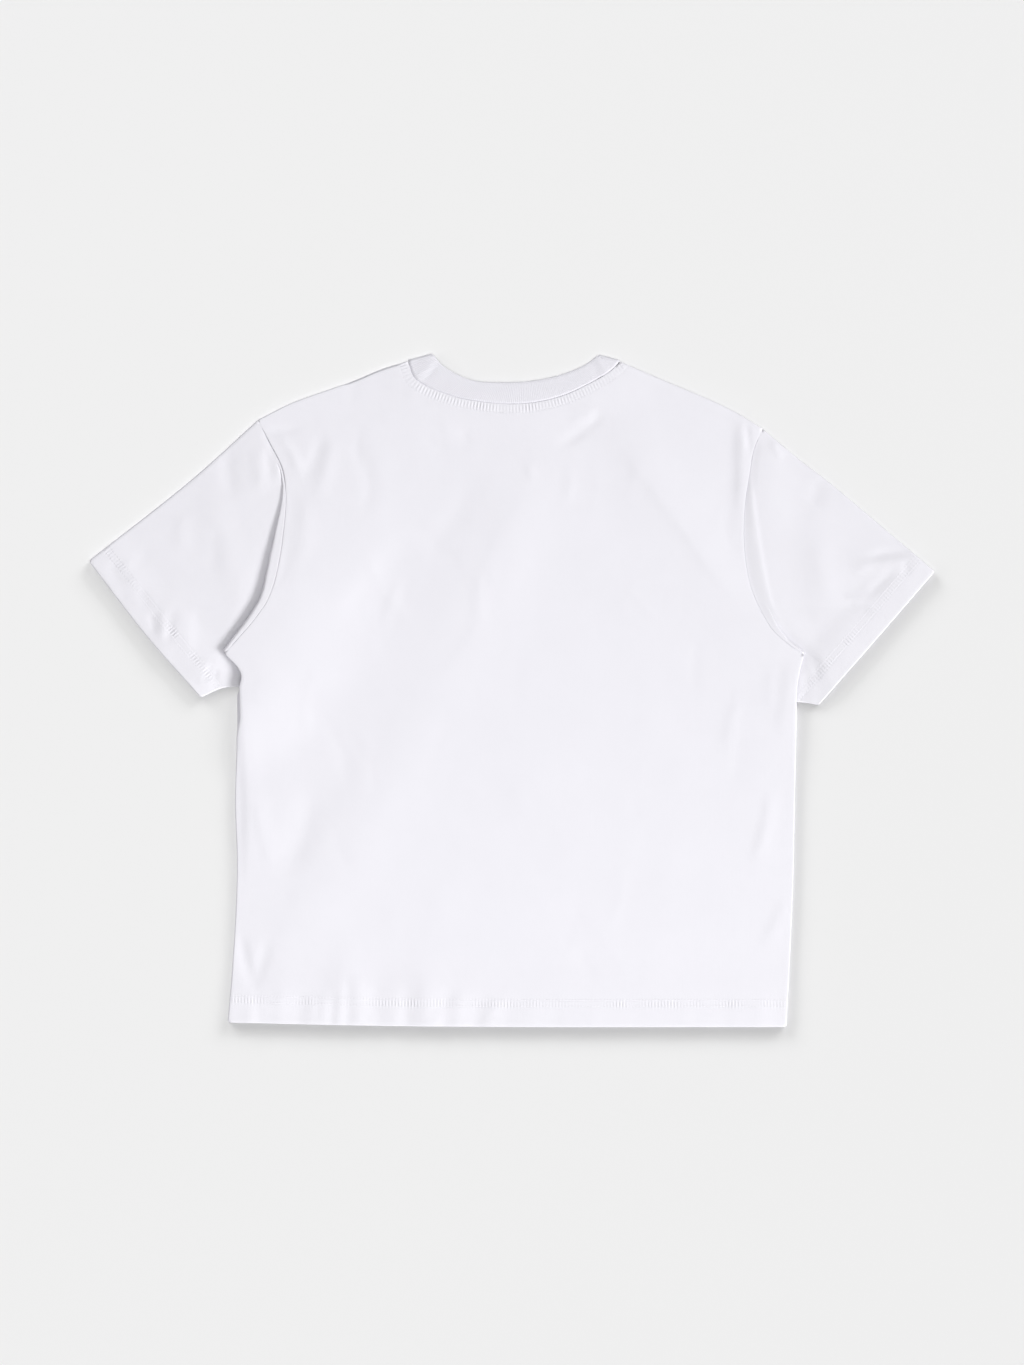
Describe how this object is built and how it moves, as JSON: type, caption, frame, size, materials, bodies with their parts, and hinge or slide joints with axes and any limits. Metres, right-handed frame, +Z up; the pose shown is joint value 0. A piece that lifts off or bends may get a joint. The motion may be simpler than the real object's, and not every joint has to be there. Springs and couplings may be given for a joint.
{
  "type": "t-shirt",
  "caption": "Boxy crew-neck t-shirt in plain jersey, laid flat on its front with its back upwards, one armhole pleated.",
  "frame": {"origin": "on the surface that the shirt lies on, under the middle of its outline", "axes": "+X across the shirt from the left of the picture to the right, +Y from the hem to the neck, +Z up from the surface"},
  "size_m": [0.8432, 0.6731, 0.0076],
  "materials": {
    "jersey": "white cotton single jersey, matt",
    "rib": "white cotton rib knit, matt"
  },
  "bodies": {
    "root": {"front_panel": "jersey", "back_panel": "jersey", "sleeve_left": "jersey", "sleeve_right": "jersey", "neck_rib": "rib"}
  },
  "joints": []
}
